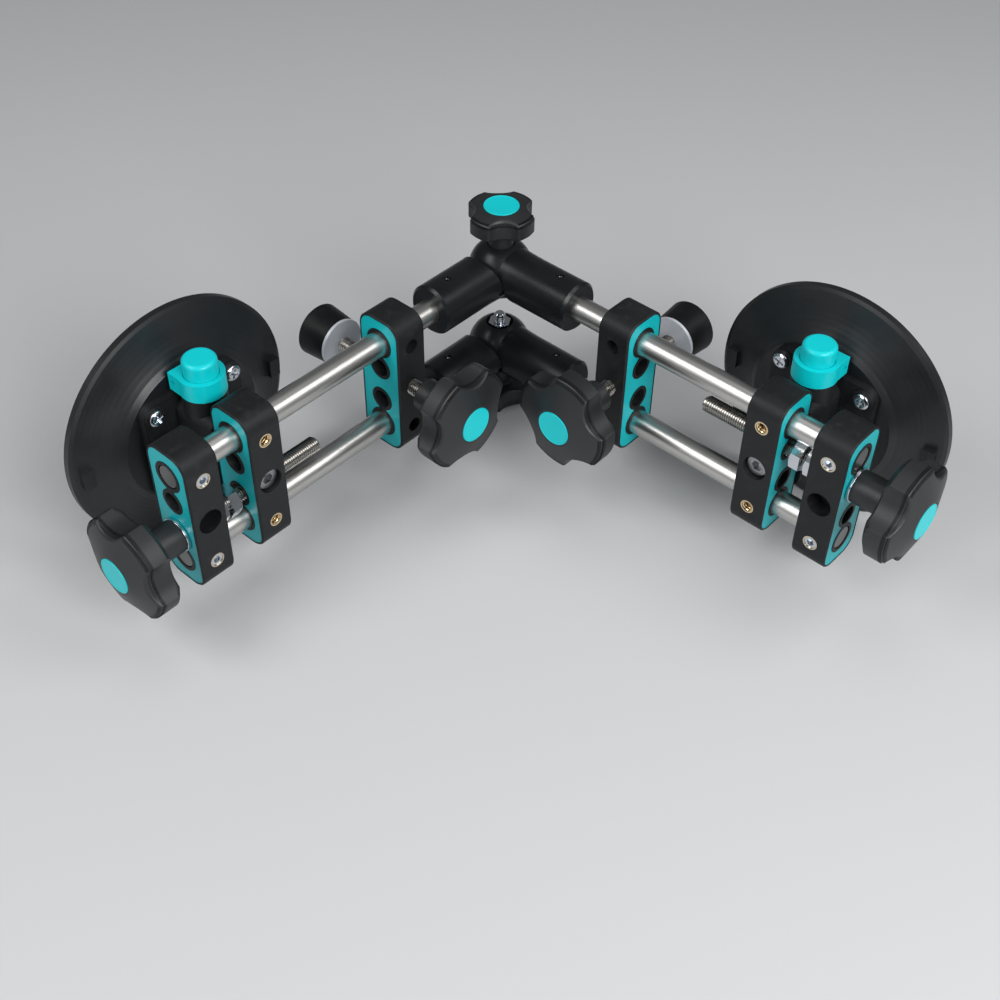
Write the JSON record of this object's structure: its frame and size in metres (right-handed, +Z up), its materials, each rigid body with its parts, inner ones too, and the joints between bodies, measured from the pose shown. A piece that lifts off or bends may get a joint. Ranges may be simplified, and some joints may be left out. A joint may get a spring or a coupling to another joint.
{
  "type": "corner seam setter",
  "caption": "Angle-adjustable corner seam setter: two twin-rod arms on a clamped hinge, each with a pump suction cup on a screw-driven carriage and a levelling screw with a rubber pad.",
  "frame": {"origin": "middle of the left cup's sealing face, on the left slab", "axes": "+X away from the left slab, +Y towards the right slab (the left arm runs along -Y from the hinge, the right arm along +X), +Z up along the hinge axis"},
  "size_m": [0.3714, 0.3714, 0.1524],
  "materials": {
    "black_plastic": "satin moulded",
    "black_rubber": "matt",
    "teal_plastic": "semi-gloss",
    "bright_steel": "drawn and polished",
    "zinc_steel": "bright zinc plate",
    "brass": "machined"
  },
  "bodies": {
    "left_carriage": {"left_carriage_block": "black_plastic", "left_carriage_plates": "teal_plastic", "left_carriage_inserts": "brass", "left_cup_bolt": "zinc_steel", "left_pump_hub": "black_plastic", "left_hub_screws": "zinc_steel", "left_suction_cup": "black_rubber", "left_pump_collar": "teal_plastic"},
    "left_button": {"left_pump_button": "teal_plastic"},
    "left_frame": {"left_rods": "bright_steel", "left_end_block": "black_plastic", "left_end_plates": "teal_plastic", "left_end_inserts": "brass", "left_set_screws": "zinc_steel", "left_upper_knuckle": "black_plastic", "left_lower_knuckle": "black_plastic", "hinge_studs": "zinc_steel", "hinge_nuts": "zinc_steel"},
    "left_lead": {"left_lead_screw": "bright_steel", "left_lead_nuts": "zinc_steel", "left_lead_knob": "black_plastic", "left_lead_knob_cap": "teal_plastic"},
    "left_level_carrier": {"left_level_block": "black_plastic", "left_level_plates": "teal_plastic"},
    "left_level_foot": {"left_level_pad": "black_rubber", "left_level_pad_plate": "zinc_steel"},
    "left_level_turner": {"left_level_stud": "bright_steel", "left_level_knob": "black_plastic", "left_level_knob_cap": "teal_plastic"},
    "right_carriage": {"right_carriage_block": "black_plastic", "right_carriage_plates": "teal_plastic", "right_carriage_inserts": "brass", "right_cup_bolt": "zinc_steel", "right_pump_hub": "black_plastic", "right_hub_screws": "zinc_steel", "right_suction_cup": "black_rubber", "right_pump_collar": "teal_plastic"},
    "right_button": {"right_pump_button": "teal_plastic"},
    "right_frame": {"right_rods": "bright_steel", "right_end_block": "black_plastic", "right_end_plates": "teal_plastic", "right_end_inserts": "brass", "right_set_screws": "zinc_steel", "right_upper_knuckle": "black_plastic", "right_lower_knuckle": "black_plastic"},
    "right_lead": {"right_lead_screw": "bright_steel", "right_lead_nuts": "zinc_steel", "right_lead_knob": "black_plastic", "right_lead_knob_cap": "teal_plastic"},
    "right_level_carrier": {"right_level_block": "black_plastic", "right_level_plates": "teal_plastic"},
    "right_level_foot": {"right_level_pad": "black_rubber", "right_level_pad_plate": "zinc_steel"},
    "right_level_turner": {"right_level_stud": "bright_steel", "right_level_knob": "black_plastic", "right_level_knob_cap": "teal_plastic"},
    "upper_clamp": {"upper_clamp_knob": "black_plastic", "upper_clamp_cap": "teal_plastic"},
    "lower_clamp": {"lower_clamp_knob": "black_plastic", "lower_clamp_cap": "teal_plastic"}
  },
  "joints": [
    {"name": "left_button_press", "type": "slide", "parent": "left_carriage", "child": "left_button", "axis": [0, 0, -1], "range_m": [0, 0.008], "stiffness_N_per_m": 300, "springref_m": -0.002},
    {"name": "left_frame_slide", "type": "slide", "parent": "left_carriage", "child": "left_frame", "axis": [0, -1, 0], "range_m": [-0.002, 0.006]},
    {"name": "left_lead_spin", "type": "hinge", "parent": "left_frame", "child": "left_lead", "pos_m": [0.067, -0.06, -0.012], "axis": [0, -1, 0], "range_deg": [-480.05, 1440.05]},
    {"name": "left_level_slide", "type": "slide", "parent": "left_frame", "child": "left_level_carrier", "axis": [0, -1, 0], "range_m": [-0.015, 0.01]},
    {"name": "left_level_feed", "type": "slide", "parent": "left_level_carrier", "child": "left_level_foot", "axis": [-1, 0, 0], "range_m": [-0.0015, 0.008]},
    {"name": "left_level_spin", "type": "hinge", "parent": "left_level_foot", "child": "left_level_turner", "pos_m": [0.1, 0.112, 0], "axis": [-1, 0, 0], "range_deg": [-360.05, 1920.05]},
    {"name": "upper_clamp_spin", "type": "hinge", "parent": "left_frame", "child": "upper_clamp", "pos_m": [0.067, 0.207, 0.06], "axis": [0, 0, 1], "range_deg": [0, 360]},
    {"name": "lower_clamp_spin", "type": "hinge", "parent": "left_frame", "child": "lower_clamp", "pos_m": [0.067, 0.207, -0.06], "axis": [0, 0, -1], "range_deg": [0, 360]},
    {"name": "corner_hinge", "type": "hinge", "parent": "left_frame", "child": "right_frame", "pos_m": [0.067, 0.207, 0], "axis": [0, 0, 1], "range_deg": [0, 180]},
    {"name": "right_carriage_slide", "type": "slide", "parent": "right_frame", "child": "right_carriage", "axis": [-1, 0, 0], "range_m": [-0.002, 0.006]},
    {"name": "right_button_press", "type": "slide", "parent": "right_carriage", "child": "right_button", "axis": [0, 0, -1], "range_m": [0, 0.008], "stiffness_N_per_m": 300, "springref_m": -0.002},
    {"name": "right_lead_spin", "type": "hinge", "parent": "right_frame", "child": "right_lead", "pos_m": [0.334, 0.207, 0.012], "axis": [1, 0, 0], "range_deg": [-480.05, 1440.05]},
    {"name": "right_level_slide", "type": "slide", "parent": "right_frame", "child": "right_level_carrier", "axis": [1, 0, 0], "range_m": [-0.001, 0.004]},
    {"name": "right_level_feed", "type": "slide", "parent": "right_level_carrier", "child": "right_level_foot", "axis": [0, 1, 0], "range_m": [-0.0015, 0.008]},
    {"name": "right_level_spin", "type": "hinge", "parent": "right_level_foot", "child": "right_level_turner", "pos_m": [0.169, 0.174, 0], "axis": [0, 1, 0], "range_deg": [-360.05, 1920.05]}
  ],
  "couplings": [
    {"joint": "left_lead_spin", "follows": "left_frame_slide", "rad_per_m": 4188.8},
    {"joint": "right_lead_spin", "follows": "right_carriage_slide", "rad_per_m": 4188.8},
    {"joint": "left_level_spin", "follows": "left_level_feed", "rad_per_m": 4188.8},
    {"joint": "right_level_spin", "follows": "right_level_feed", "rad_per_m": 4188.8}
  ]
}
